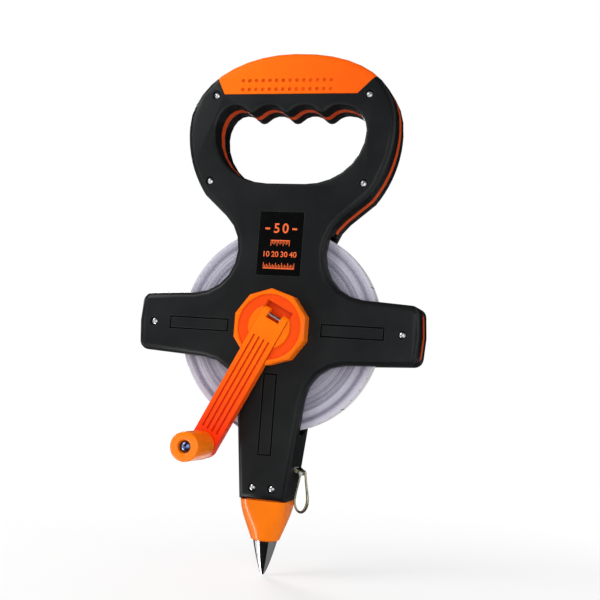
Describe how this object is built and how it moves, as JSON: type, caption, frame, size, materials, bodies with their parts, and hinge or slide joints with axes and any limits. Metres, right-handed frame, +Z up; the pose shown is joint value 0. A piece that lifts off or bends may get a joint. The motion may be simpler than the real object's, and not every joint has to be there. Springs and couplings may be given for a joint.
{
  "type": "surveyor tape reel",
  "caption": "Open-frame surveyor's long tape reel with a hand grip, a folding crank with a turning knob, a steel ground spike and a wire end hook.",
  "frame": {"origin": "the tip of the ground spike", "axes": "+Z up through the handle, +Y to the rear face, away from the crank, +X to the side that the tape leaves on"},
  "size_m": [0.22, 0.0882, 0.3955],
  "materials": {
    "black_plastic": "satin moulded",
    "orange_plastic": "glossy moulded",
    "orange_grip": "soft satin",
    "label": "printed plate",
    "tape": "coated tape edges",
    "steel": "turned",
    "chrome": "polished",
    "nickel": "plated",
    "bronze": "sintered"
  },
  "bodies": {
    "frame": {"front_shell": "black_plastic", "rear_shell": "black_plastic", "handle_core": "orange_plastic", "grip": "orange_grip", "label_plate": "label", "arm_spacer_left": "orange_plastic", "arm_spacer_right": "orange_plastic", "tape_guide": "black_plastic", "nose_cone": "orange_plastic", "ground_spike": "chrome", "spike_nut": "steel", "frame_screw_1": "steel", "frame_screw_2": "steel", "frame_screw_3": "steel", "frame_screw_4": "steel", "frame_screw_5": "steel", "frame_screw_6": "steel", "frame_screw_7": "steel", "frame_screw_8": "steel", "front_bush": "bronze", "rear_bush": "bronze", "tape_tail": "tape", "end_clip": "nickel", "hook_pin": "steel"},
    "reel": {"axle": "steel", "drum": "black_plastic", "tape_core": "tape", "tape_winding": "tape", "crank_hub": "orange_plastic", "crank_hinge_pin": "steel", "hub_screw": "steel", "axle_washer": "steel", "axle_cap": "black_plastic"},
    "crank": {"crank_arm": "orange_plastic", "knob_pin": "steel"},
    "knob": {"crank_knob": "orange_plastic"},
    "hook": {"tape_hook": "nickel"}
  },
  "joints": [
    {"name": "reel_spin", "type": "hinge", "parent": "frame", "child": "reel", "pos_m": [0, 0, 0.1842], "axis": [0, 1, 0], "continuous": true},
    {"name": "crank_fold", "type": "hinge", "parent": "reel", "child": "crank", "pos_m": [0.00357, -0.0271, 0.19136], "axis": [-0.8949, 0, 0.4462], "range_deg": [0, 120]},
    {"name": "knob_spin", "type": "hinge", "parent": "crank", "child": "knob", "pos_m": [-0.04507, -0.0484, 0.09381], "axis": [0, 1, 0], "continuous": true},
    {"name": "hook_swing", "type": "hinge", "parent": "frame", "child": "hook", "pos_m": [0.02583, 0, 0.07753], "axis": [0, 1, 0], "range_deg": [-100, 3]}
  ]
}
